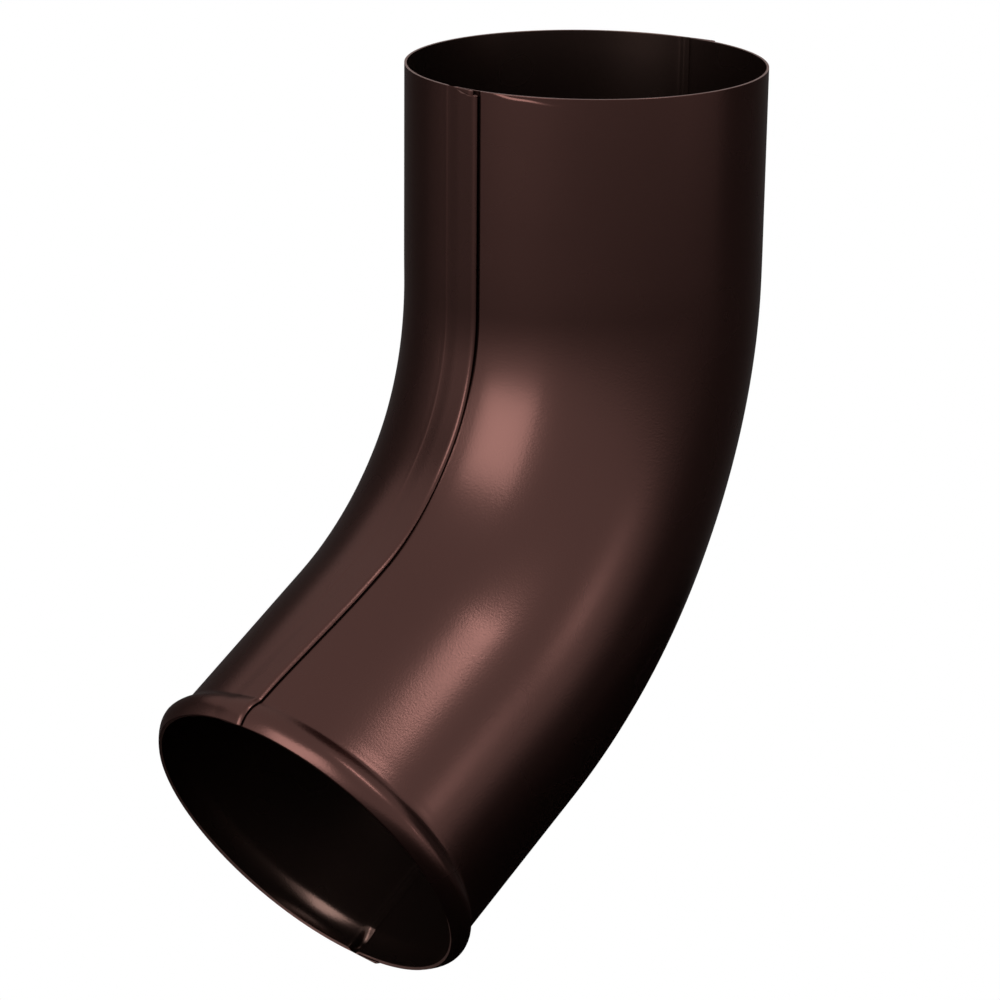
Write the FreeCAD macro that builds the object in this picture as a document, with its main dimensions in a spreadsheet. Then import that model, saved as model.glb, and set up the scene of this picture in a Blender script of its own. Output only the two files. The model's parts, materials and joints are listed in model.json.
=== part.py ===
import FreeCAD, Part
import math
import os
import Sketcher

# Downspout elbow: two pressed half shells of coated sheet steel, joined by two folded lock seams.
# The origin is the centre of the inlet rim, +Z runs up along the inlet, and the outlet turns towards +X.
# The bend plane is XZ. One seam runs down the throat (+X side), the other down the back.

# Driving dimensions in millimetres and degrees
SIZES = [
    ("inlet_bore", 90.0, "inner diameter of the inlet socket, which slides over the downpipe"),
    ("tube_bore", 88.0, "inner diameter past the socket"),
    ("sheet_gauge", 0.6, "thickness of the coated sheet"),
    ("inlet_length", 54.5, "straight inlet, from the rim to the start of the bend"),
    ("bend_radius", 112.0, "radius of the bend at the centre line of the tube"),
    ("bend_angle", 60.0, "turn of the whole bend"),
    ("neck_length", 12.0, "last part of the socket, which narrows to the tube"),
    ("outlet_length", 55.0, "straight outlet, from the end of the bend to the mouth"),
    ("bead_length", 8.0, "length of the rolled bead at the mouth"),
    ("bead_height", 2.2, "height of the bead above the tube"),
    ("seam_width", 7.0, "flat width of the lap over each lock seam"),
    ("layer_gap", 0.05, "clearance between two layers of a seam"),
    ("hook_gap", 0.3, "clearance between the end of a hook and the fold that it reaches into"),
]

# Expressions that the sketches share
SHEET = "sizes.sheet_gauge"
PITCH = "(sizes.sheet_gauge + sizes.layer_gap)"
SOCKET = "(sizes.inlet_bore / 2 + sizes.sheet_gauge)"
TUBE = "(sizes.tube_bore / 2 + sizes.sheet_gauge)"

# Height of each layer's outer face above the wall's outer face, from the wall (0) out to the lap (3)
TOP = [f"({number} * {PITCH})" for number in range(4)]
# Height of each layer's inner face
UNDER = [f"({top} - {SHEET})" for top in TOP]
# Inner and outer radius of a folded edge, which goes round one layer of the other sheet
FOLD_INSIDE = f"({PITCH} - {SHEET} / 2)"
FOLD_OUTSIDE = f"({PITCH} + {SHEET} / 2)"

# Places across a seam, as arc lengths from the bend plane towards the shell's own side
LAP_TOP = "(sizes.seam_width / 2)"
LAP_FOOT = f"({LAP_TOP} + {TOP[3]})"
LAP_FOLD = "(-sizes.seam_width / 2)"
WALL_FOLD = f"({LAP_FOLD} + {FOLD_OUTSIDE} + sizes.layer_gap)"
LAP_HOOK_END = f"(-{WALL_FOLD} - sizes.hook_gap)"
WALL_HOOK_END = f"(-{LAP_FOLD} - sizes.hook_gap)"

# The lapping shell's edge at a seam: up from its wall, over the lap, round its fold and back as a hook.
# Each corner has a height, a place and the join that leads to the next corner.
LAPPING_EDGE = [
    (TOP[0], LAP_FOOT, "line"),
    (TOP[3], LAP_TOP, "arc"),
    (TOP[3], LAP_FOLD, "fold"),
    (UNDER[1], LAP_FOLD, "arc"),
    (UNDER[1], LAP_HOOK_END, "line"),
    (TOP[1], LAP_HOOK_END, "arc"),
    (TOP[1], LAP_FOLD, "fold"),
    (UNDER[3], LAP_FOLD, "arc"),
    (UNDER[3], LAP_TOP, "line"),
    (UNDER[0], LAP_FOOT, "arc"),
]
# The hooked shell's edge: its wall runs on under the lap and folds back over the lap's hook
HOOKED_EDGE = [
    (TOP[0], WALL_FOLD, "fold"),
    (UNDER[2], WALL_FOLD, "arc"),
    (UNDER[2], WALL_HOOK_END, "line"),
    (TOP[2], WALL_HOOK_END, "arc"),
    (TOP[2], WALL_FOLD, "fold"),
    (UNDER[0], WALL_FOLD, "arc"),
]

# The same edges as strips for the bead: name, inner and outer face, far and near end across the seam
LAPPING_STRIPS = [
    ("lap", UNDER[3], TOP[3], LAP_TOP, f"({LAP_FOLD} - {FOLD_INSIDE})"),
    ("fold", UNDER[1], TOP[3], f"({LAP_FOLD} - {FOLD_INSIDE})", f"({LAP_FOLD} - {FOLD_OUTSIDE})"),
    ("hook", UNDER[1], TOP[1], LAP_HOOK_END, f"({LAP_FOLD} - {FOLD_INSIDE})"),
]
HOOKED_STRIPS = [
    ("fold", UNDER[0], TOP[2], f"({WALL_FOLD} - {FOLD_INSIDE})", f"({WALL_FOLD} - {FOLD_OUTSIDE})"),
    ("hook", UNDER[2], TOP[2], WALL_HOOK_END, f"({WALL_FOLD} - {FOLD_INSIDE})"),
]

# Side of the bend plane that each shell is on
LAPPING_SIDE = -1
HOOKED_SIDE = 1
SEAMS = ["throat", "back"]

# The bead's section is an arc, bead_height above a chord of bead_length
BEAD_RADIUS = "((sizes.bead_length ^ 2 / 4 + sizes.bead_height ^ 2) / (2 * sizes.bead_height))"
BEAD_CENTRE_ALONG = "(sizes.outlet_length - sizes.bead_length / 2)"
BEAD_CENTRE_OUT = f"({TUBE} + sizes.bead_height - {BEAD_RADIUS})"
# The tube stops a little before the bead, because the outer layers turn out sooner
TUBE_END = f"(sizes.outlet_length - sizes.bead_length - 4 * {PITCH})"

# Places and directions of cross-sections of the tube
TO_OUTLET = "rotation(vector(0; 1; 0); -sizes.bend_angle)"
OUTLET_PLACE = (
    "vector(sizes.bend_radius * (1 - cos(sizes.bend_angle * 1 deg)); 0; "
    "-sizes.inlet_length - sizes.bend_radius * sin(sizes.bend_angle * 1 deg))"
)
AT_NECK = "placement(vector(0; 0; sizes.neck_length - sizes.inlet_length); rotation(vector(0; 1; 0); 0))"
AT_BEND_START = "placement(vector(0; 0; -sizes.inlet_length); rotation(vector(0; 1; 0); 0))"
AT_BEND_END = f"placement({OUTLET_PLACE}; {TO_OUTLET})"


def spreadsheet(doc):
    sheet = doc.addObject("Spreadsheet::Sheet", "sizes")
    for row, (name, value, meaning) in enumerate(SIZES, 1):
        sheet.set(f"A{row}", name)
        sheet.set(f"B{row}", str(value))
        sheet.set(f"C{row}", meaning)
        sheet.setAlias(f"B{row}", name)
    doc.recompute()


def at_meridian(angle):
    """Half plane through the outlet's axis at an angle round the tube: x runs along it, y runs outwards."""
    outwards = "rotation(vector(1; 1; -1); 120)"
    return f"placement({OUTLET_PLACE}; {TO_OUTLET} * rotation(vector(0; 0; 1); {angle}) * {outwards})"


def seam_angle(side, seam, place):
    """Angle round the tube, in degrees from the throat, of a place across one of the seams."""
    from_plane = f"{place} / {TUBE} * 180 / pi"
    if seam == "throat":
        return f"({side} * {from_plane})"
    return f"({side} * (180 - {from_plane}))"


class Drawing:
    """A sketch held to its body's XY plane, whose place and geometry are bound by expressions."""

    def __init__(self, body, name, placement):
        plane = next(feature for feature in body.Origin.OriginFeatures if feature.Role == "XY_Plane")
        self.sheet = body.Document.getObject("sizes")
        self.sketch = body.newObject("Sketcher::SketchObject", name)
        self.sketch.AttachmentSupport = [(plane, "")]
        self.sketch.MapMode = "FlatFace"
        self.sketch.setExpression("AttachmentOffset", placement)

    def number(self, expression):
        return float(self.sheet.evalExpression(expression))

    def bind(self, kind, places, expression):
        index = self.sketch.addConstraint(Sketcher.Constraint(kind, *places, self.number(expression)))
        self.sketch.setExpression(f"Constraints[{index}]", expression)

    def tie(self, kind, *places):
        self.sketch.addConstraint(Sketcher.Constraint(kind, *places))

    def line(self, start, end, construction=False):
        segment = Part.LineSegment(FreeCAD.Vector(*start, 0), FreeCAD.Vector(*end, 0))
        return self.sketch.addGeometry(segment, construction)

    def arc(self, centre, start, end):
        """Arc that runs counter-clockwise from start to end."""
        first, last = (math.atan2(point[1] - centre[1], point[0] - centre[0]) for point in (start, end))
        radius = math.dist(centre, start)
        circle = Part.Circle(FreeCAD.Vector(*centre, 0), FreeCAD.Vector(0, 0, 1), radius)
        return self.sketch.addGeometry(Part.ArcOfCircle(circle, first, last), False)


def section(body, name, placement, radius, side, edge):
    """Cross-section of one half shell, with its edges at both seams, in the plane across the tube."""
    drawing = Drawing(body, name, placement)

    # Corners run along the shell's inner face from the throat to the back, and return along its outer face
    corners = [(height, seam_angle(side, "throat", place)) for height, place, _ in edge]
    corners += [(height, seam_angle(side, "back", place)) for height, place, _ in reversed(edge)]
    joins = [join for _, _, join in edge] + [join for _, _, join in reversed(edge[:-1])] + ["arc"]
    reaches = [drawing.number(f"{radius} + {height}") for height, _ in corners]
    angles = [drawing.number(angle) for _, angle in corners]
    points = [
        (reach * math.cos(math.radians(angle)), reach * math.sin(math.radians(angle)))
        for reach, angle in zip(reaches, angles)
    ]

    # Each edge of the outline: its geometry, and which of its ends is at its own and at the next corner
    outline = []
    for number, join in enumerate(joins):
        following = (number + 1) % len(corners)
        start, end = points[number], points[following]
        if join == "line":
            outline.append((drawing.line(start, end), 1, 2))
            continue
        centre = (0, 0)
        forward = angles[following] > angles[number]
        if join == "fold":
            centre = ((start[0] + end[0]) / 2, (start[1] + end[1]) / 2)
            bulges_forward = (number < len(edge)) == (side < 0)
            forward = (reaches[number] > reaches[following]) == bulges_forward
        if forward:
            outline.append((drawing.arc(centre, start, end), 1, 2))
        else:
            outline.append((drawing.arc(centre, end, start), 2, 1))

    # Arcs round the tube are bound by their radius and ends, and the joins between them follow
    for number, join in enumerate(joins):
        following = (number + 1) % len(corners)
        geometry, first, last = outline[number]
        before, _, before_last = outline[number - 1]
        after, after_first, _ = outline[following]
        if join == "arc":
            reach = f"({radius} + {corners[number][0]})"
            drawing.tie("Coincident", geometry, 3, -1, 1)
            drawing.bind("Radius", (geometry,), reach)
            for end, (_, angle) in ((first, corners[number]), (last, corners[following])):
                drawing.bind("DistanceY", (-1, 1, geometry, end), f"{reach} * sin({angle} * 1 deg)")
        else:
            drawing.tie("Tangent" if join == "fold" else "Coincident", geometry, first, before, before_last)
            drawing.tie("Coincident", geometry, last, after, after_first)

    # Axis of the bend
    centre = drawing.number("sizes.bend_radius")
    half = drawing.number(TUBE)
    axis = drawing.line((centre, -half), (centre, half), construction=True)
    drawing.tie("Vertical", axis)
    drawing.bind("DistanceX", (-1, 1, axis, 1), "sizes.bend_radius")
    drawing.bind("DistanceY", (-1, 1, axis, 1), f"-{TUBE}")
    drawing.bind("DistanceY", (-1, 1, axis, 2), TUBE)
    return drawing.sketch


def meridian(body, name, angle, under, top):
    """Section along the outlet of one layer of sheet, from the tube's end over the bead to the mouth."""
    drawing = Drawing(body, name, at_meridian(angle))
    number = drawing.number
    tube_end, mouth = number(TUBE_END), number("sizes.outlet_length")
    centre = (number(BEAD_CENTRE_ALONG), number(BEAD_CENTRE_OUT))
    lines, arcs = [], []
    corners = {}
    for height in (under, top):
        level, bead = number(f"{TUBE} + {height}"), number(f"{BEAD_RADIUS} + {height}")
        foot = centre[0] - math.sqrt(bead**2 - (level - centre[1]) ** 2)
        lip = centre[1] + math.sqrt(bead**2 - (mouth - centre[0]) ** 2)
        lines.append(drawing.line((tube_end, level), (foot, level)))
        arcs.append(drawing.arc(centre, (mouth, lip), (foot, level)))
        corners[height] = (level, lip)
    start = drawing.line((tube_end, corners[under][0]), (tube_end, corners[top][0]))
    lip = drawing.line((mouth, corners[under][1]), (mouth, corners[top][1]))

    drawing.tie("Vertical", start)
    drawing.tie("Vertical", lip)
    drawing.bind("DistanceX", (-1, 1, start, 1), TUBE_END)
    drawing.bind("DistanceX", (-1, 1, lip, 1), "sizes.outlet_length")
    for end, height, line, arc in zip((1, 2), (under, top), lines, arcs):
        drawing.tie("Horizontal", line)
        drawing.tie("Coincident", line, 1, start, end)
        drawing.tie("Coincident", line, 2, arc, 2)
        drawing.tie("Coincident", arc, 1, lip, end)
        drawing.bind("DistanceY", (-1, 1, line, 1), f"{TUBE} + {height}")
        drawing.bind("DistanceX", (-1, 1, arc, 3), BEAD_CENTRE_ALONG)
        drawing.bind("DistanceY", (-1, 1, arc, 3), BEAD_CENTRE_OUT)
        drawing.bind("Radius", (arc,), f"{BEAD_RADIUS} + {height}")
    return drawing.sketch


def add(body, kind, name, **settings):
    feature = body.newObject(f"PartDesign::{kind}", name)
    for key, value in settings.items():
        setattr(feature, key, value)
    return feature


def tube(body, side, edge):
    """Inlet, bend and outlet of one half shell, up to the bead."""
    name = body.Name
    socket_end = section(body, f"{name}_socket_end", AT_NECK, SOCKET, side, edge)
    socket = add(body, "Pad", f"{name}_socket", Profile=socket_end)
    socket.setExpression("Length", "sizes.inlet_length - sizes.neck_length")

    bend_start = section(body, f"{name}_bend_start", AT_BEND_START, TUBE, side, edge)
    add(body, "AdditiveLoft", f"{name}_neck", Profile=socket_end, Sections=[bend_start], Ruled=True)
    bend = add(body, "Revolution", f"{name}_bend", Profile=bend_start, Reversed=True)
    bend.ReferenceAxis = (bend_start, ["Axis0"])
    bend.setExpression("Angle", "sizes.bend_angle")

    bend_end = section(body, f"{name}_bend_end", AT_BEND_END, TUBE, side, edge)
    outlet = add(body, "Pad", f"{name}_outlet", Profile=bend_end, Reversed=True)
    outlet.setExpression("Length", TUBE_END)


def bead_strip(body, name, under, top, first, last):
    """One layer of the bead between two angles round the tube, the first larger than the last."""
    profile = meridian(body, f"{name}_section", first, under, top)
    strip = add(body, "Revolution", name, Profile=profile, ReferenceAxis=(profile, ["H_Axis"]))
    strip.setExpression("Angle", f"{first} - {last}")


def bead(body, side, wall_end, strips):
    """The bead of one half shell: its wall, and the layers of its edges at both seams."""
    name = body.Name
    throat_end = seam_angle(side, "throat", wall_end)
    back_end = seam_angle(side, "back", wall_end)
    ends = (throat_end, back_end) if side < 0 else (back_end, throat_end)
    bead_strip(body, f"{name}_bead", UNDER[0], TOP[0], *ends)
    for seam in SEAMS:
        if side < 0:
            foot = meridian(body, f"{name}_{seam}_foot", seam_angle(side, seam, LAP_FOOT), UNDER[0], TOP[0])
            rise = meridian(body, f"{name}_{seam}_top", seam_angle(side, seam, LAP_TOP), UNDER[3], TOP[3])
            add(body, "AdditiveLoft", f"{name}_{seam}_rise", Profile=foot, Sections=[rise], Ruled=True)
        for layer, under, top, far, near in strips:
            ends = (seam_angle(side, seam, far), seam_angle(side, seam, near))
            if (side < 0) == (seam == "throat"):
                ends = ends[::-1]
            bead_strip(body, f"{name}_{seam}_{layer}", under, top, *ends)


def check(doc):
    """Stops if an object failed, or if a half shell isn't one valid solid."""
    for thing in doc.Objects:
        if "Invalid" in thing.State or "Error" in thing.State:
            raise RuntimeError(f"{thing.Label}: {thing.State}")
    for body in doc.findObjects("PartDesign::Body"):
        if body.Shape.isNull() or not body.Shape.isValid() or len(body.Shape.Solids) != 1:
            raise RuntimeError(f"{body.Label} is not one valid solid")


doc = FreeCAD.newDocument("downspout_elbow")
spreadsheet(doc)
for label, side, edge, wall_end, strips in (
    ("lapping_half_shell", LAPPING_SIDE, LAPPING_EDGE, LAP_FOOT, LAPPING_STRIPS),
    ("hooked_half_shell", HOOKED_SIDE, HOOKED_EDGE, f"({WALL_FOLD} - {FOLD_INSIDE})", HOOKED_STRIPS),
):
    body = doc.addObject("PartDesign::Body", label)
    tube(body, side, edge)
    bead(body, side, wall_end, strips)
doc.recompute()
check(doc)

os.makedirs("parts", exist_ok=True)
for body in doc.findObjects("PartDesign::Body"):
    body.Shape.exportStep(f"parts/{body.Label}.step")
    print(f"{body.Label}: {body.Shape.Volume:.1f} mm3")
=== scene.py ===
import json
import math

import bmesh
import bpy
from mathutils import Matrix, Vector


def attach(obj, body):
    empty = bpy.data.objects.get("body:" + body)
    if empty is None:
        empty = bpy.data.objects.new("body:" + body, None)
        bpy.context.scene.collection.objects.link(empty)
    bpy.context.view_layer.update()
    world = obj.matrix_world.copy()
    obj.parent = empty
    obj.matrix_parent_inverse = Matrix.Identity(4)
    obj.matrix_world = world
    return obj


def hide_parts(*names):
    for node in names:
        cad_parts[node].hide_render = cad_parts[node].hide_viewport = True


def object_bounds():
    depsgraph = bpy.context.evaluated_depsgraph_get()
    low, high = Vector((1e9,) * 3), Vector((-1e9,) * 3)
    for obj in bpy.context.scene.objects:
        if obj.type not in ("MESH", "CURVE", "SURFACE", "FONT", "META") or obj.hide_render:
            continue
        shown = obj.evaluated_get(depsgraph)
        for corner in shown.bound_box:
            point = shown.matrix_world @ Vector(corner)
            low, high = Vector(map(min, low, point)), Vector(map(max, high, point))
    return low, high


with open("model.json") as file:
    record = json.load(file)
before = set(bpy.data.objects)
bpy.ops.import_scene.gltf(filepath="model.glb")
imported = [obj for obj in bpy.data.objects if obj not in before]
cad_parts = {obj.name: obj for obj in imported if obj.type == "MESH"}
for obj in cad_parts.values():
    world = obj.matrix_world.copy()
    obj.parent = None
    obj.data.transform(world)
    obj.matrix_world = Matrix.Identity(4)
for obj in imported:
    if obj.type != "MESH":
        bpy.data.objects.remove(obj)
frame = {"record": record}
cad_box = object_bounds()

# Downspout elbow of coil-coated sheet steel: two pressed half shells, folded into each other along
# the throat (+X side) and the back. Sizes are in millimetres and angles in degrees, as on a drawing.
MM = 0.001
SHEET_GAUGE = 0.6
LAYER_GAP = 0.05
SOCKET_RADIUS = frame["record"]["mounts"][0]["dims"]["r_mm"] + SHEET_GAUGE
TUBE_RADIUS = 44.6
INLET_LENGTH = 54.5
BEND_RADIUS = 112.0
BEND_ANGLE = 60.0
OUTLET_LENGTH = 55.0
BEAD_LENGTH = 8.0
BEAD_HEIGHT = 2.2
SEAM_WIDTH = 7.0
HOOK_GAP = 0.3

# The pressed shell narrows from the socket to the tube between these lengths along the centre line
NARROWING = (46.0, 116.0)

BEND_TURN = math.radians(BEND_ANGLE)
BEND_END = INLET_LENGTH + BEND_RADIUS * BEND_TURN
MOUTH = BEND_END + OUTLET_LENGTH

# The bead's crest lies halfway along it, and its foot runs softly into the tube
BEAD_CREST = MOUTH - BEAD_LENGTH / 2
BEAD_FOOT = 0.6

# Heights of the layers of a seam above the wall's outer face, before the seam is pressed flat
PITCH = SHEET_GAUGE + LAYER_GAP
TOP = [layer * PITCH for layer in range(4)]
UNDER = [top - SHEET_GAUGE for top in TOP]
FOLD_INSIDE = PITCH - SHEET_GAUGE / 2
FOLD_OUTSIDE = PITCH + SHEET_GAUGE / 2

# Places across a seam, from its middle towards the shell's own side
LAP_FOLD = -SEAM_WIDTH / 2
WALL_FOLD = LAP_FOLD + FOLD_OUTSIDE + LAYER_GAP
NOSE = LAP_FOLD - FOLD_OUTSIDE
RISE_TOP = 2.6
RISE_FOOT = 6.4
EDGE_START = 7.5

# The side of the bend plane that each half lies on
LAPPING_SIDE = -1
HOOKED_SIDE = 1

# The seaming press leaves the lap as a flat strip. It parts from the tube's circle at a line, steps up
# from the wall there, and stands highest at its nose, whose shoulder is crushed down, more so towards
# the mouth.
STRIP_START = 5.5
STRIP_EDGE = 0.15
STRIP_STEP = 0.14
STRIP_STEP_WIDTH = 4.5
NOSE_HEIGHT = 1.28
SHOULDER_START = -3.2
SHOULDER_DROP = [(0, 0.35), (150, 0.35), (185, 0.8), (230, 0.8)]

# A faint ridge in the wall beside the strip, which drops sharply towards the strip
RIDGE_HEIGHT = 0.045
RIDGE_DROP = 0.3
RIDGE_WIDTH = 1.8

# The other sheet is drawn in beside the nose, but in the bend it stands out a hair
DRAWN_DEPTH = 0.35
DRAWN_WIDTH = 0.75
DRAWN_SHARE = [(0, 1.0), (50, 1.0), (75, 0.3), (95, -0.1), (150, -0.1), (180, 0.6), (200, 0.8), (230, 0.8)]

# Sideways wander of each seam towards +Y, against the length along the centre line
THROAT_WANDER = [
    (0, -0.45), (55, -0.3), (100, -0.6), (125, -0.85), (165, -0.65), (180, -0.8), (190, -1.3), (200, -2.0),
    (211, -2.75), (218, -2.95), (MOUTH, -2.8),
]
BACK_WANDER = [(0, 0.6), (60, 0.3), (MOUTH, 0.0)]

# The beading rolls press the lap flatter towards the mouth, smooth out the ridge beside it, and leave
# the bead with two overlapping hollows beside the throat seam. Each hollow is a share of the bead's
# height, with its middle and width round the tube from the throat.
LAP_PRESS = [(0, 1.0), (212, 1.0), (221, 0.75), (MOUTH, 0.5)]
RIDGE_FADE = (190.0, 212.0)
BEAD_HOLLOWS = [(0.17, 2.5, 5.0), (0.3, 9.0, 21.0)]

# The bead is a little uneven all round. Each wave is a share of the bead's height, with the distance
# round the tube for each radian of it and its start in radians. The level leaves room for the waves.
BEAD_LEVEL = 0.95
BEAD_WAVES = [(0.035, 7.1, 0.6), (0.025, 3.3, 0.0)]

# The groove that the bead leaves inside is shallower than the bead is high, and deepest low on the
# lapping shell. Faces this far out from the inner face follow the whole bead.
GROOVE_SHARE = 0.12
GROOVE_DEEPER = 0.45
GROOVE_PLACE = -121.0
GROOVE_WIDTH = 12.0
GROOVE_BLEND = 0.2

# A low crease under the rim beside the throat seam, above which the lip is pushed in: its depth below
# the rim against the distance round the tube from the throat
CREASE = [(6.5, -0.5), (8.6, 0.0), (11.2, 0.56), (12.8, 0.8), (17.5, 1.07), (21.2, 1.55), (25.0, 2.0)]
CREASE_DEPTH = 0.13
CREASE_WIDTH = 0.5
CREASE_FADE = 11.0

# The lap is sheared off a little lower than the layers behind it at the rim, along a slightly wavy line
# that turns by so many radians a millimetre
CUT_BACK = 1.2
CUT_BACK_LENGTH = 4.0
CUT_BACK_START = 4.0
CUT_BACK_BLEND = 5.0
CUT_WAVE_HEIGHT = 0.15
CUT_WAVE_RADIANS = 2.1

# Cross-sections stand closest at the rim and over the bead, and points round the wall stand closer
# beside the throat seam, which faces the eye
RIM_SPACING = 0.15
RIM_STEPS = 16
LIP_SPACING = 0.3
LIP_STEPS = 6
TUBE_SPACING = 2.0
BEAD_LEAD = 3.0
BEAD_STEPS = 32
CLOSE_WALL_WIDTH = 16.0
CLOSE_WALL_STEPS = 27
WALL_STEPS = 54

# Numbers of each half's material slots. The back coat covers the wall's inner face and runs on over this
# many of the last points of each edge. It is a greyer backing paint, made a little darker than the face
# coat as painted shade inside the tube.
FACE_COAT = 0
CUT_EDGE = 1
BACK_COAT_AND_SHADE = 2
INSIDE_COAT_AND_SHADE_POINTS = 13


def smooth(share):
    """Eases from 0 to 1."""
    share = min(max(share, 0.0), 1.0)
    return share * share * (3 - 2 * share)


def bell(where, middle, width):
    """Falls away from 1 at the middle, to almost nothing two widths from it."""
    return math.exp(-((where - middle) / width) ** 2)


def follow(points, value):
    """Reads a smooth line drawn through points."""
    value = min(max(value, points[0][0]), points[-1][0])
    index = next(number for number in range(1, len(points)) if value <= points[number][0])
    (first, start), (last, end) = points[index - 1:index + 1]
    before, after = points[max(index - 2, 0)], points[min(index + 1, len(points) - 1)]
    span = last - first
    share = (value - first) / span
    leaving = (end - before[1]) / (last - before[0]) * span * share * (1 - share) ** 2
    arriving = (after[1] - start) / (after[0] - first) * span * share**2 * (1 - share)
    return start + (end - start) * smooth(share) + leaving - arriving


def wall_radius(along):
    """Radius over the wall at a length along the tube."""
    start, end = NARROWING
    return SOCKET_RADIUS - (SOCKET_RADIUS - TUBE_RADIUS) * smooth((along - start) / (end - start))


def lap_height(across, along):
    """Height of the lap's outer face over the tube, across measured towards the lapping shell."""
    if across >= STRIP_START:
        return 0.0
    share = (STRIP_START - across) / (STRIP_START - NOSE)
    step = STRIP_STEP * smooth((STRIP_START - across) / STRIP_STEP_WIDTH)
    crushed = max(0.0, (SHOULDER_START - across) / (SHOULDER_START - NOSE))
    shoulder = follow(SHOULDER_DROP, along) * crushed**2
    return (step + (NOSE_HEIGHT - STRIP_STEP) * share**2 - shoulder) * follow(LAP_PRESS, along)


def ridge_height(across, along):
    """Height of the ridge in the wall beside the strip, which fades out before the mouth."""
    start, end = RIDGE_FADE
    drop = smooth((across - STRIP_START) / RIDGE_DROP)
    share = (across - STRIP_START) / RIDGE_WIDTH
    return RIDGE_HEIGHT * drop * (1 - smooth(share)) * (1 - smooth((along - start) / (end - start)))


def pressed(height, across, along):
    """Height of a layer once the seam is pressed flat."""
    if height == TOP[0] and STRIP_START < across < STRIP_START + RIDGE_WIDTH:
        return ridge_height(across, along)
    if -DRAWN_DEPTH <= height < 0 and across < RISE_TOP:
        return height * follow(DRAWN_SHARE, along)
    if height <= 0:
        return height
    return height / TOP[3] * lap_height(across, along)


def relief(along, round_from_throat):
    """How far the lip above the crease stands out, which is less than nothing."""
    if not CREASE[0][0] < round_from_throat < CREASE[-1][0]:
        return 0.0
    share = (along - follow(CREASE, round_from_throat)) / CREASE_WIDTH + 0.5
    fade = smooth((CREASE[-1][0] - round_from_throat) / CREASE_FADE)
    return -CREASE_DEPTH * fade * (1 - smooth(share))


def cut_back(across, along):
    """How much lower the lap is cut than the rim."""
    ragged = CUT_BACK + CUT_WAVE_HEIGHT * math.sin(CUT_WAVE_RADIANS * across)
    return ragged * smooth((CUT_BACK_START - across) / CUT_BACK_BLEND) * max(0.0, 1 - along / CUT_BACK_LENGTH)


def bead_rise(along):
    """Height of the bead over the tube."""
    share = (along - BEAD_CREST) / (BEAD_LENGTH / 2)
    rise = BEAD_HEIGHT * (1 - share**2)
    return rise if share > 0 else (rise + math.hypot(rise, BEAD_FOOT)) / 2


def bead_share(round_from_throat):
    """How much of its height the bead has at a distance round the tube from the throat."""
    hollows = sum(share * bell(round_from_throat, middle, width) for share, middle, width in BEAD_HOLLOWS)
    waves = sum(share * math.sin(round_from_throat / length + start) for share, length, start in BEAD_WAVES)
    return BEAD_LEVEL - hollows + waves


def groove_share(height, round_from_throat):
    """How much of the bead's height a face follows: all of it outside, less inside."""
    inside = GROOVE_SHARE + GROOVE_DEEPER * bell(round_from_throat, GROOVE_PLACE, GROOVE_WIDTH)
    return inside + (1 - inside) * smooth((height - UNDER[0]) / GROOVE_BLEND)


def place(along, radius, angle):
    """Point in the frame, in metres, from the length along the tube, the radius and the angle round it."""
    turn = min(max(along - INLET_LENGTH, 0.0) / BEND_RADIUS, BEND_TURN)
    travel = Vector((math.sin(turn), 0, -math.cos(turn)))
    throat = Vector((math.cos(turn), 0, math.sin(turn)))
    centre = Vector((BEND_RADIUS * (1 - math.cos(turn)), 0, -INLET_LENGTH - BEND_RADIUS * math.sin(turn)))
    centre += travel * (along - INLET_LENGTH - BEND_RADIUS * turn)
    return (centre + (throat * math.cos(angle) + Vector((0, 1, 0)) * math.sin(angle)) * radius) * MM


def stations():
    """Cross-sections from the rim to the mouth, as (kind, length along the tube)."""
    near_rim = [step * RIM_SPACING for step in range(RIM_STEPS)]
    near_rim += [RIM_STEPS * RIM_SPACING + step * LIP_SPACING for step in range(1, LIP_STEPS + 1)]
    start, end = near_rim[-1], MOUTH - BEAD_LENGTH - BEAD_LEAD
    steps = round((end - start) / TUBE_SPACING)
    found = [("tube", along) for along in near_rim]
    found += [("tube", start + (end - start) * step / steps) for step in range(1, steps + 1)]
    found += [("bead", end + (MOUTH - end) * step / BEAD_STEPS) for step in range(1, BEAD_STEPS + 1)]
    return found


def profile(station, height):
    """Length along the tube and radius of a layer's face, which over the bead stands square to its slope."""
    kind, along = station
    if kind == "tube":
        return along, wall_radius(along) + height
    nudge = 0.01
    slope = (bead_rise(along + nudge) - bead_rise(along - nudge)) / (2 * nudge)
    slant = math.hypot(1, slope)
    return along - height * slope / slant, TUBE_RADIUS + bead_rise(along) + height / slant


def run(start, end, height, steps):
    """Points (height, place) of one face between two places, without the first."""
    return [(height, start + (end - start) * step / steps) for step in range(1, steps + 1)]


def fold(at, height, radius, steps, inwards):
    """Points round a folded edge, without the first."""
    found = []
    for step in range(1, steps + 1):
        turned = math.pi * step / steps
        rise = math.cos(turned) * radius * (1 if inwards else -1)
        found.append((height + rise, at - math.sin(turned) * radius))
    return found


def descent(steps):
    """Points of the lap's inner face where it comes down beside the other sheet, without the first."""
    width = RISE_FOOT - RISE_TOP
    shares = [step / steps for step in range(1, steps + 1)]
    return [(UNDER[3] - TOP[3] * smooth(share), RISE_TOP + width * share) for share in shares]


def drawn_in(steps):
    """Points of the other sheet's outer face where it is drawn in beside the nose, without the first."""
    start = DRAWN_WIDTH - NOSE
    shares = [step / steps for step in range(1, steps + 1)]
    return [(-DRAWN_DEPTH * share**2, start - DRAWN_WIDTH * share) for share in shares]


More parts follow.
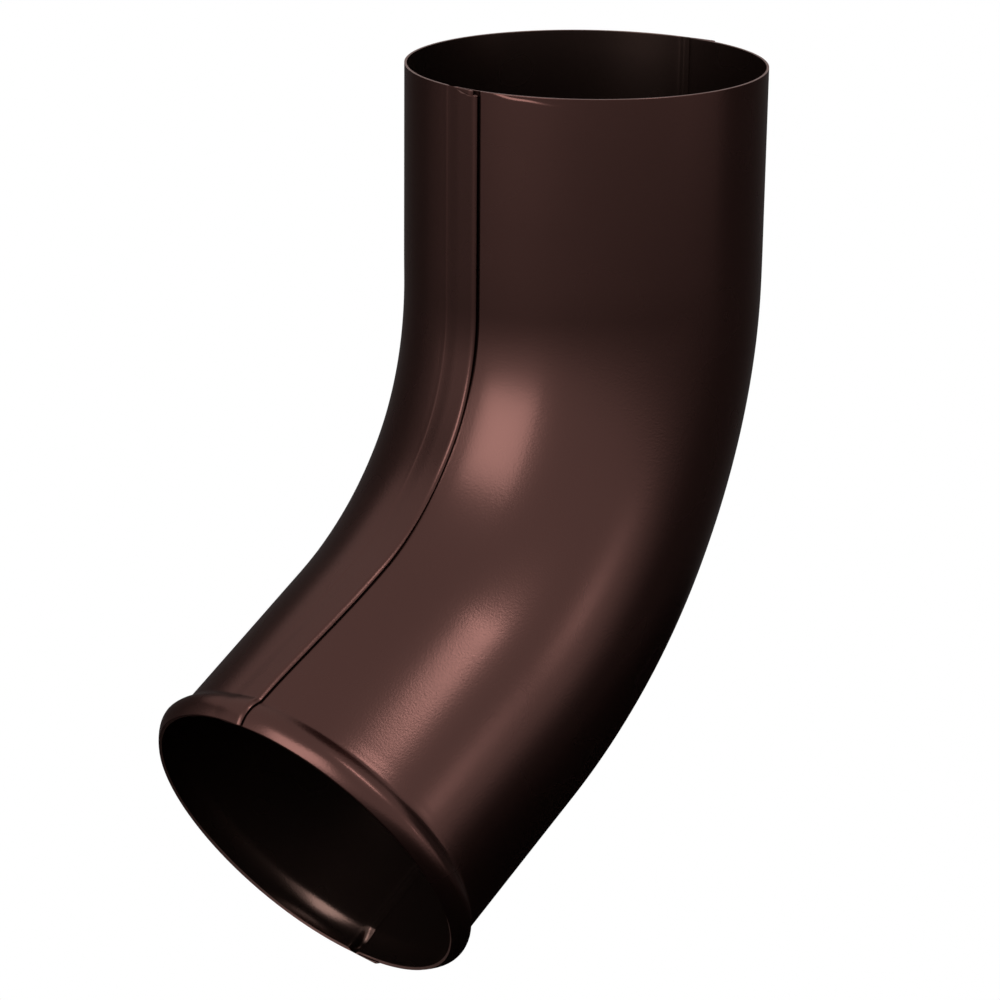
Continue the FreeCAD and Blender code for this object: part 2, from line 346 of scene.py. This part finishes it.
def lapping_edge():
    """Edge of the lapping shell: from its wall over the lap, round its fold and back as a hook."""
    hook_end = -WALL_FOLD - HOOK_GAP
    middle = (UNDER[1] + TOP[3]) / 2
    strip_edge = STRIP_START - STRIP_EDGE
    points = [(TOP[0], EDGE_START), (TOP[0], STRIP_START + RIDGE_WIDTH)]
    points += run(STRIP_START + RIDGE_WIDTH, STRIP_START + RIDGE_DROP, TOP[0], steps=5)
    points += run(STRIP_START + RIDGE_DROP, STRIP_START, TOP[0], steps=5)
    points += [(TOP[3], strip_edge)]
    points += run(strip_edge, LAP_FOLD, TOP[3], steps=30)
    points += fold(LAP_FOLD, middle, FOLD_OUTSIDE, steps=16, inwards=True)
    points += run(LAP_FOLD, hook_end, UNDER[1], steps=3)
    points += [(TOP[1], hook_end)]
    points += run(hook_end, LAP_FOLD, TOP[1], steps=3)
    points += fold(LAP_FOLD, middle, FOLD_INSIDE, steps=6, inwards=False)
    points += run(LAP_FOLD, RISE_TOP, UNDER[3], steps=6)
    points += descent(steps=12)
    points += [(UNDER[0], EDGE_START)]
    return points


def hooked_edge():
    """Edge of the hooked shell: its wall runs on under the lap and folds back over the lap's hook. The
    inside of the fold starts a point late, so that the drawn-in sheet runs into it evenly."""
    hook_end = -LAP_FOLD - HOOK_GAP
    middle = (UNDER[0] + TOP[2]) / 2
    points = [(TOP[0], EDGE_START), (TOP[0], DRAWN_WIDTH - NOSE)]
    points += drawn_in(steps=8)
    points += run(-NOSE, WALL_FOLD, -DRAWN_DEPTH, steps=8)
    points += fold(WALL_FOLD, middle, FOLD_INSIDE, steps=6, inwards=False)[1:]
    points += run(WALL_FOLD, hook_end, UNDER[2], steps=3)
    points += [(TOP[2], hook_end)]
    points += run(hook_end, WALL_FOLD, TOP[2], steps=3)
    points += fold(WALL_FOLD, middle, FOLD_OUTSIDE, steps=12, inwards=True)
    points += run(WALL_FOLD, EDGE_START, UNDER[0], steps=10)
    return points


def wall_places():
    """Angles round the wall between the throat's seam and the back's, closer beside the throat's seam."""
    start, end = EDGE_START / TUBE_RADIUS, math.pi - EDGE_START / TUBE_RADIUS
    close_end = start + CLOSE_WALL_WIDTH / TUBE_RADIUS
    close = [start + (close_end - start) * step / CLOSE_WALL_STEPS for step in range(1, CLOSE_WALL_STEPS + 1)]
    return close + [close_end + (end - close_end) * step / WALL_STEPS for step in range(1, WALL_STEPS)]


WALL_PLACES = wall_places()


def outline(edge):
    """A half shell's cross-section all the way round, as (zone, height, where). In a seam, where is the
    place across it, and on the wall it is the angle from the throat."""
    found = [("throat", height, across) for height, across in edge]
    found += [("wall", UNDER[0], angle) for angle in WALL_PLACES]
    found += [("back", height, across) for height, across in reversed(edge)]
    found += [("wall", TOP[0], angle) for angle in reversed(WALL_PLACES)]
    return found


def angle_round(zone, where, side, throat_turn, back_turn):
    """Angle of a place round the tube, in radians from the throat towards +Y, as the seams have turned."""
    if zone == "throat":
        return side * where / TUBE_RADIUS + throat_turn
    if zone == "back":
        return side * (math.pi - where / TUBE_RADIUS) + back_turn
    share = (where - WALL_PLACES[0]) / (WALL_PLACES[-1] - WALL_PLACES[0])
    return side * where + throat_turn + (back_turn - throat_turn) * share


def ring_points(station, side, edge):
    """Points of one cross-section of a half shell."""
    kind, station_along = station
    throat_turn = follow(THROAT_WANDER, station_along) / TUBE_RADIUS
    back_turn = -follow(BACK_WANDER, station_along) / TUBE_RADIUS
    points = []
    for zone, height, where in outline(edge):
        if zone != "wall":
            height = pressed(height, where * side * LAPPING_SIDE, station_along)
        angle = angle_round(zone, where, side, throat_turn, back_turn)
        round_from_throat = angle * TUBE_RADIUS
        along, radius = profile(station, height)
        if zone == "throat" and side == LAPPING_SIDE:
            along += cut_back(where, along)
        if kind == "tube":
            radius += relief(along, round_from_throat)
        else:
            level = TUBE_RADIUS + height
            share = bead_share(round_from_throat) * groove_share(height, round_from_throat)
            radius = level + (radius - level) * share
        points.append(place(along, radius, angle))
    return points


def cut_faces(mesh, ring, edge_count):
    """Cut end of the sheet: quads between its two faces, and one face across each folded edge."""
    wall_count = len(WALL_PLACES)
    throat = ring[:edge_count]
    inner = ring[edge_count:edge_count + wall_count]
    back = ring[edge_count + wall_count:2 * edge_count + wall_count]
    outer = list(reversed(ring[2 * edge_count + wall_count:]))
    wall = list(zip([throat[0]] + outer + [back[-1]], [throat[-1]] + inner + [back[0]]))
    faces = [mesh.faces.new((a, b, d, c)) for (a, b), (c, d) in zip(wall, wall[1:])]
    return faces + [mesh.faces.new(throat), mesh.faces.new(back)]


def add_object(name, data):
    """Puts a mesh, a camera or a light into the scene."""
    made = bpy.data.objects.new(name, data)
    bpy.context.scene.collection.objects.link(made)
    return made


def shell(name, side, edge):
    """One half shell: its edge at the throat, its wall and its edge at the back, swept from rim to mouth."""
    mesh = bmesh.new()
    rings = [[mesh.verts.new(point) for point in ring_points(station, side, edge)] for station in stations()]
    count = len(rings[0])
    # Faces inside the tube take the back coat, whose darker tone is partly painted shade
    inside = range(len(edge) - INSIDE_COAT_AND_SHADE_POINTS, len(edge) + len(WALL_PLACES) + INSIDE_COAT_AND_SHADE_POINTS - 1)
    for near, far in zip(rings, rings[1:]):
        for number in range(count):
            after = (number + 1) % count
            face = mesh.faces.new((near[number], near[after], far[after], far[number]))
            face.smooth = True
            face.material_index = BACK_COAT_AND_SHADE if number in inside else FACE_COAT
    for ring in (rings[0], rings[-1]):
        for face in cut_faces(mesh, ring, len(edge)):
            face.material_index = CUT_EDGE
    bmesh.ops.recalc_face_normals(mesh, faces=mesh.faces)
    data = bpy.data.meshes.new(name)
    mesh.to_mesh(data)
    mesh.free()
    return add_object(name, data)


def linear(code):
    """Linear colour of an sRGB hex code."""
    values = [int(code[start:start + 2], 16) / 255 for start in (1, 3, 5)]
    light = [value / 12.92 if value <= 0.04045 else ((value + 0.055) / 1.055) ** 2.4 for value in values]
    return light + [1.0]


def add_node(tree, kind, inputs=(), **settings):
    """Adds a node. Each input is a value to set or the output of another node to link."""
    made = tree.nodes.new(kind)
    for name, value in settings.items():
        setattr(made, name, value)
    for name, value in dict(inputs).items():
        if isinstance(value, bpy.types.NodeSocket):
            tree.links.new(value, made.inputs[name])
        else:
            made.inputs[name].default_value = value
    return made


def new_material(name):
    """A material without nodes yet, and its node tree."""
    material = bpy.data.materials.new(name)
    material.use_nodes = True
    material.node_tree.nodes.clear()
    return material, material.node_tree


# Orange peel of the paint: the distance between its bumps, and its depth on the inlet and in the bend,
# with the heights in the frame between which it changes. The gloss drifts over larger patches.
PEEL_SIZE = 0.5
PEEL_DEPTH_INLET = 0.008
PEEL_DEPTH_BEND = 0.021
PEEL_CHANGE = (-85, -50)
GLOSS_PATCH = 25
GLOSS_ROUGHNESS = (0.24, 0.3)


def polyester_coated_steel(name, color):
    """Coil-coated steel in metallic polyester: a satin gloss tinted by the flakes in the paint, broken
    up by a fine orange peel that is stronger where the sheet was drawn into the bend."""
    material, tree = new_material(name)
    where = add_node(tree, "ShaderNodeTexCoord").outputs["Object"]
    peel = add_node(tree, "ShaderNodeTexNoise", {
        "Vector": where, "Scale": 1 / (PEEL_SIZE * MM), "Detail": 1.0})
    height = add_node(tree, "ShaderNodeSeparateXYZ", {"Vector": where}).outputs["Z"]
    low, high = PEEL_CHANGE
    depth = add_node(tree, "ShaderNodeMapRange", {
        "Value": height, "From Min": low * MM, "From Max": high * MM,
        "To Min": PEEL_DEPTH_BEND * MM, "To Max": PEEL_DEPTH_INLET * MM})
    bump = add_node(tree, "ShaderNodeBump", {
        "Height": peel.outputs["Fac"], "Strength": 1.0, "Distance": depth.outputs["Result"]})
    patches = add_node(tree, "ShaderNodeTexNoise", {
        "Vector": where, "Scale": 1 / (GLOSS_PATCH * MM), "Detail": 2.0})
    glossiest, dullest = GLOSS_ROUGHNESS
    gloss = add_node(tree, "ShaderNodeMapRange", {
        "Value": patches.outputs["Fac"], "To Min": glossiest, "To Max": dullest})
    paint = add_node(tree, "ShaderNodeBsdfPrincipled", {
        "Base Color": linear(color), "Metallic": 0.95, "Roughness": gloss.outputs["Result"],
        "Specular Tint": linear("#D8CECC"), "Normal": bump.outputs["Normal"]})
    add_node(tree, "ShaderNodeOutputMaterial", {"Surface": paint.outputs["BSDF"]})
    return material


def sheared_edge():
    """Cut edge of the coated sheet: zinc and steel smeared over by the two films of paint, which shows
    as a thin line, paler and duller than the paint."""
    material, tree = new_material("sheared_zinc_steel_edge")
    metal = add_node(tree, "ShaderNodeBsdfPrincipled", {
        "Base Color": linear("#6A4E48"), "Roughness": 0.45, "Metallic": 0.9})
    add_node(tree, "ShaderNodeOutputMaterial", {"Surface": metal.outputs["BSDF"]})
    return material


# The elbow, with its finishes in the order of the slot numbers above: face coat, cut edge and back coat,
# whose darker tone is partly painted shade inside the tube
finishes = [
    polyester_coated_steel("metallic_polyester_coated_steel", "#49312D"),
    sheared_edge(),
    # Back coat: a greyer backing paint, a little darker than the face coat as painted shade inside the tube
    polyester_coated_steel("metallic_polyester_back_coat_and_painted_shade", "#44342F"),
]
for name, node, side, edge in (
    ("lapping_half", "lapping_half_shell", LAPPING_SIDE, lapping_edge()),
    ("hooked_half", "hooked_half_shell", HOOKED_SIDE, hooked_edge()),
):
    half = shell(name, side, edge)
    for material in finishes:
        half.data.materials.append(material)
    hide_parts(node)
    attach(half, "root")

# Camera, at the photograph's viewing angle
VIEW_AZIMUTH = 130.869
VIEW_ELEVATION = 18.455
VIEW_DISTANCE = 865.96
VIEW_ROLL = 0.6245
VIEW_SIDEWAYS = -20.448
VIEW_HEIGHT = -115.519
FOCAL_PIXELS = 3315.8
FRAME_PIXELS = 1000
SENSOR_WIDTH = 36.0


def direction(azimuth, elevation):
    """Unit vector towards a place seen at an azimuth and elevation in degrees."""
    azimuth, elevation = math.radians(azimuth), math.radians(elevation)
    level = math.cos(elevation)
    return Vector((math.sin(azimuth) * level, -math.cos(azimuth) * level, math.sin(elevation)))


def add_camera():
    """A camera aimed beside the inlet's axis, with the photograph's own slight roll."""
    backwards = direction(VIEW_AZIMUTH, VIEW_ELEVATION)
    rightwards = Vector((0, 0, 1)).cross(backwards).normalized()
    upwards = backwards.cross(rightwards)
    target = Vector((0, 0, VIEW_HEIGHT)) + rightwards * VIEW_SIDEWAYS
    roll = Matrix.Rotation(math.radians(VIEW_ROLL), 3, "Z")
    turn = Matrix((rightwards, upwards, backwards)).transposed() @ roll
    data = bpy.data.cameras.new("camera")
    data.sensor_width = SENSOR_WIDTH
    data.lens = FOCAL_PIXELS / FRAME_PIXELS * SENSOR_WIDTH
    data.clip_start = 0.01
    camera = add_object("camera", data)
    camera.matrix_world = Matrix.Translation((target + backwards * VIEW_DISTANCE) * MM) @ turn.to_4x4()
    bpy.context.scene.camera = camera


# Floor, cards and light, in metres. The cards stand round the elbow on one level, and the one below it
# is darkest at a place given by its azimuth and distance, and grows paler between two distances from it.
FLOOR_HEIGHT = -2.5
FLOOR_SIZE = 5.0
LIGHT_DISTANCE = 1.5
ROOM_LEVEL = 0.6
CARD_DISTANCE = 1.0
CARD_COLUMNS = 30
CARD_FOOT = -0.6
DARK_CARD_TOP = 0.28
DARK_CARD_AZIMUTHS = (221, 376)
GREY_CARD_TOP = 0.36
GREY_CARD_AZIMUTHS = (376, 393)
LOW_CARD_RADIUS = 5.0
LOW_CARD_CORNERS = 60
LOW_CARD_DARKEST = (235, 0.5)
LOW_CARD_FADE = (0.95, 4.0)


def matt_surface(name, color):
    """Matt paint of the floor and the standing cards, the same all over."""
    material, tree = new_material(name)
    paint = add_node(tree, "ShaderNodeBsdfDiffuse", {"Color": linear(color)})
    add_node(tree, "ShaderNodeOutputMaterial", {"Surface": paint.outputs["BSDF"]})
    return material


def fading_surface(name, dark_color, pale_color):
    """Matt paint of the card below, which grows paler away from its darkest spot."""
    material, tree = new_material(name)
    azimuth, distance = LOW_CARD_DARKEST
    darkest = direction(azimuth, 0) * distance + Vector((0, 0, CARD_FOOT))
    near, far = LOW_CARD_FADE
    where = add_node(tree, "ShaderNodeNewGeometry").outputs["Position"]
    away = add_node(tree, "ShaderNodeVectorMath", {0: where, 1: darkest}, operation="DISTANCE")
    share = add_node(tree, "ShaderNodeMapRange", {
        "Value": away.outputs["Value"], "From Min": near, "From Max": far})
    faded = add_node(tree, "ShaderNodeMix", {
        "Factor": share.outputs["Result"], 6: linear(dark_color), 7: linear(pale_color)}, data_type="RGBA")
    paint = add_node(tree, "ShaderNodeBsdfDiffuse", {"Color": faded.outputs[2]})
    add_node(tree, "ShaderNodeOutputMaterial", {"Surface": paint.outputs["BSDF"]})
    return material


def add_stage(name, points, faces, material):
    """A surface that stands round the object and isn't part of it."""
    data = bpy.data.meshes.new(name)
    data.from_pydata(points, [], faces)
    data.materials.append(material)
    made = add_object(name, data)
    return made


def add_floor():
    """A pale floor, too far below the elbow to show its shadow."""
    half = FLOOR_SIZE / 2
    corners = [(x, y, FLOOR_HEIGHT) for x, y in ((-half, -half), (half, -half), (half, half), (-half, half))]
    add_stage("pale_floor", corners, [(0, 1, 2, 3)], matt_surface("pale_floor", "#E6E6E6"))


def add_standing_card(name, azimuths, top, color):
    """A card that stands upright and is bent round the elbow."""
    start, end = azimuths
    turns = [start + (end - start) * step / CARD_COLUMNS for step in range(CARD_COLUMNS + 1)]
    columns = [direction(turn, 0) * CARD_DISTANCE for turn in turns]
    points = [(column.x, column.y, level) for column in columns for level in (CARD_FOOT, top)]
    faces = [(2 * number, 2 * number + 2, 2 * number + 3, 2 * number + 1) for number in range(CARD_COLUMNS)]
    return add_stage(name, points, faces, matt_surface(name, color))


def add_low_card(name, dark_color, pale_color):
    """A round card that lies below the elbow."""
    turns = [360 * step / LOW_CARD_CORNERS for step in range(LOW_CARD_CORNERS)]
    rim = [direction(turn, 0) * LOW_CARD_RADIUS for turn in turns]
    points = [(point.x, point.y, CARD_FOOT) for point in rim]
    faces = [tuple(range(LOW_CARD_CORNERS))]
    return add_stage(name, points, faces, fading_surface(name, dark_color, pale_color))


def add_cards():
    """Cards behind, beside and below the elbow, which the camera doesn't see. The paint mirrors them, and
    that keeps its flanks dark."""
    for card in (
        add_standing_card("dark_card_behind", DARK_CARD_AZIMUTHS, DARK_CARD_TOP, "#6E6E6E"),
        add_standing_card("grey_card_beside", GREY_CARD_AZIMUTHS, GREY_CARD_TOP, "#B0B0B0"),
        add_low_card("dark_card_below", "#0C0C0C", "#F0F0F0"),
    ):
        card.visible_camera = False


def add_world():
    """White where it is seen, mirrored or looked at through something, and an even pale room for the rest."""
    world = bpy.data.worlds.new("studio")
    world.use_nodes = True
    tree = world.node_tree
    tree.nodes.clear()
    rays = add_node(tree, "ShaderNodeLightPath").outputs
    mirrored = add_node(tree, "ShaderNodeMath", {
        0: rays["Is Glossy Ray"], 1: rays["Is Transmission Ray"]}, operation="MAXIMUM")
    seen = add_node(tree, "ShaderNodeMath", {
        0: rays["Is Camera Ray"], 1: mirrored.outputs["Value"]}, operation="MAXIMUM")
    room = add_node(tree, "ShaderNodeBackground", {"Color": linear("#FFFFFF"), "Strength": ROOM_LEVEL})
    white = add_node(tree, "ShaderNodeBackground", {"Color": linear("#FFFFFF"), "Strength": 1.0})
    mixed = add_node(tree, "ShaderNodeMixShader", {
        "Fac": seen.outputs["Value"], 1: room.outputs["Background"], 2: white.outputs["Background"]})
    add_node(tree, "ShaderNodeOutputWorld", {"Surface": mixed.outputs["Shader"]})
    bpy.context.scene.world = world


def add_soft_light(name, azimuth, elevation, width, height, power):
    """Rectangular soft light that faces the middle of the elbow, placed by its direction in degrees."""
    middle = (Vector(cad_box[0]) + Vector(cad_box[1])) / 2
    towards = direction(azimuth, elevation)
    data = bpy.data.lights.new(name, "AREA")
    data.shape = "RECTANGLE"
    data.size, data.size_y = width, height
    data.energy = power
    light = add_object(name, data)
    light.location = middle + towards * LIGHT_DISTANCE
    light.rotation_euler = towards.to_track_quat("Z", "Y").to_euler()


add_camera()
add_floor()
add_cards()
add_world()
add_soft_light("throat_light", azimuth=90.8, elevation=25.8, width=1.03, height=0.99, power=15.6)
add_soft_light("side_light", azimuth=187.6, elevation=52.2, width=0.26, height=0.55, power=5.0)
add_soft_light("low_light", azimuth=195.5, elevation=7.9, width=0.16, height=0.21, power=0.55)
bpy.context.scene.view_settings.view_transform = "Standard"
